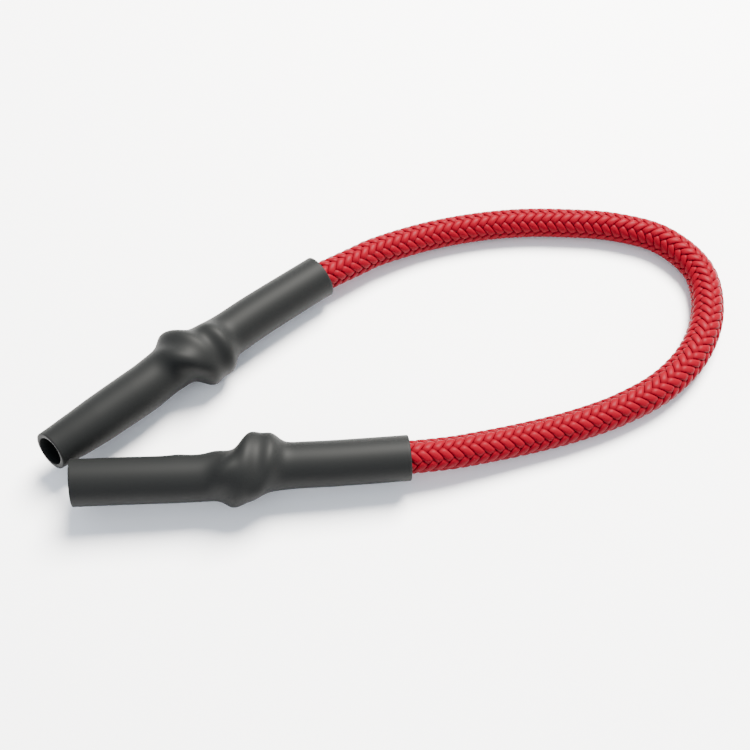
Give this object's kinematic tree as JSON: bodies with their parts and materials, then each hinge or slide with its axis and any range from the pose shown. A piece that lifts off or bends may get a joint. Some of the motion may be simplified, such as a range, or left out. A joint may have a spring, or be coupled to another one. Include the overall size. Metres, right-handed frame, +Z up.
{
  "type": "knotted cord tether",
  "caption": "Short braided cord bent in a U, knotted near each end under a heat-shrink sleeve that runs on as an open socket.",
  "frame": {"origin": "on the resting surface, below the middle of the box round the two sleeves", "axes": "+X along the near sleeve from its open end to the cord, +Z up from the resting surface"},
  "size_m": [0.1311, 0.0613, 0.0128],
  "materials": {
    "red_braid": "glossy braided polyester",
    "pale_core": "plain fibres",
    "dark_heat_shrink": "satin"
  },
  "bodies": {
    "near_grip": {"near_sleeve": "dark_heat_shrink", "near_knot": "red_braid", "near_tail": "red_braid", "cover_near_grip": "red_braid", "core_near_grip": "pale_core"},
    "near_run": {"cover_near_run": "red_braid", "core_near_run": "pale_core"},
    "near_bend": {"cover_near_bend": "red_braid", "core_near_bend": "pale_core"},
    "far_bend": {"cover_far_bend": "red_braid", "core_far_bend": "pale_core"},
    "far_run": {"cover_far_run": "red_braid", "core_far_run": "pale_core"},
    "far_grip": {"far_sleeve": "dark_heat_shrink", "far_knot": "red_braid", "far_tail": "red_braid", "cover_far_grip": "red_braid", "core_far_grip": "pale_core"}
  },
  "joints": [
    {"name": "near_mouth_flex", "type": "hinge", "parent": "near_grip", "child": "near_run", "pos_m": [0.04631, -0.01755, 0.00388], "axis": [0, 0, -1], "range_deg": [0, 6]},
    {"name": "near_run_flex", "type": "hinge", "parent": "near_run", "child": "near_bend", "pos_m": [0.07687, -0.01042, 0.003], "axis": [0, 0, -1], "range_deg": [0, 11]},
    {"name": "bend_flex", "type": "hinge", "parent": "near_bend", "child": "far_bend", "pos_m": [0.09468, 0.01894, 0.003], "axis": [0, 0, -1], "range_deg": [0, 36]},
    {"name": "far_run_flex", "type": "hinge", "parent": "far_bend", "child": "far_run", "pos_m": [0.06195, 0.03287, 0.003], "axis": [0, 0, -1], "range_deg": [0, 9]},
    {"name": "far_mouth_flex", "type": "hinge", "parent": "far_run", "child": "far_grip", "pos_m": [0.03212, 0.02798, 0.00408], "axis": [0, 0, -1], "range_deg": [0, 7]}
  ]
}
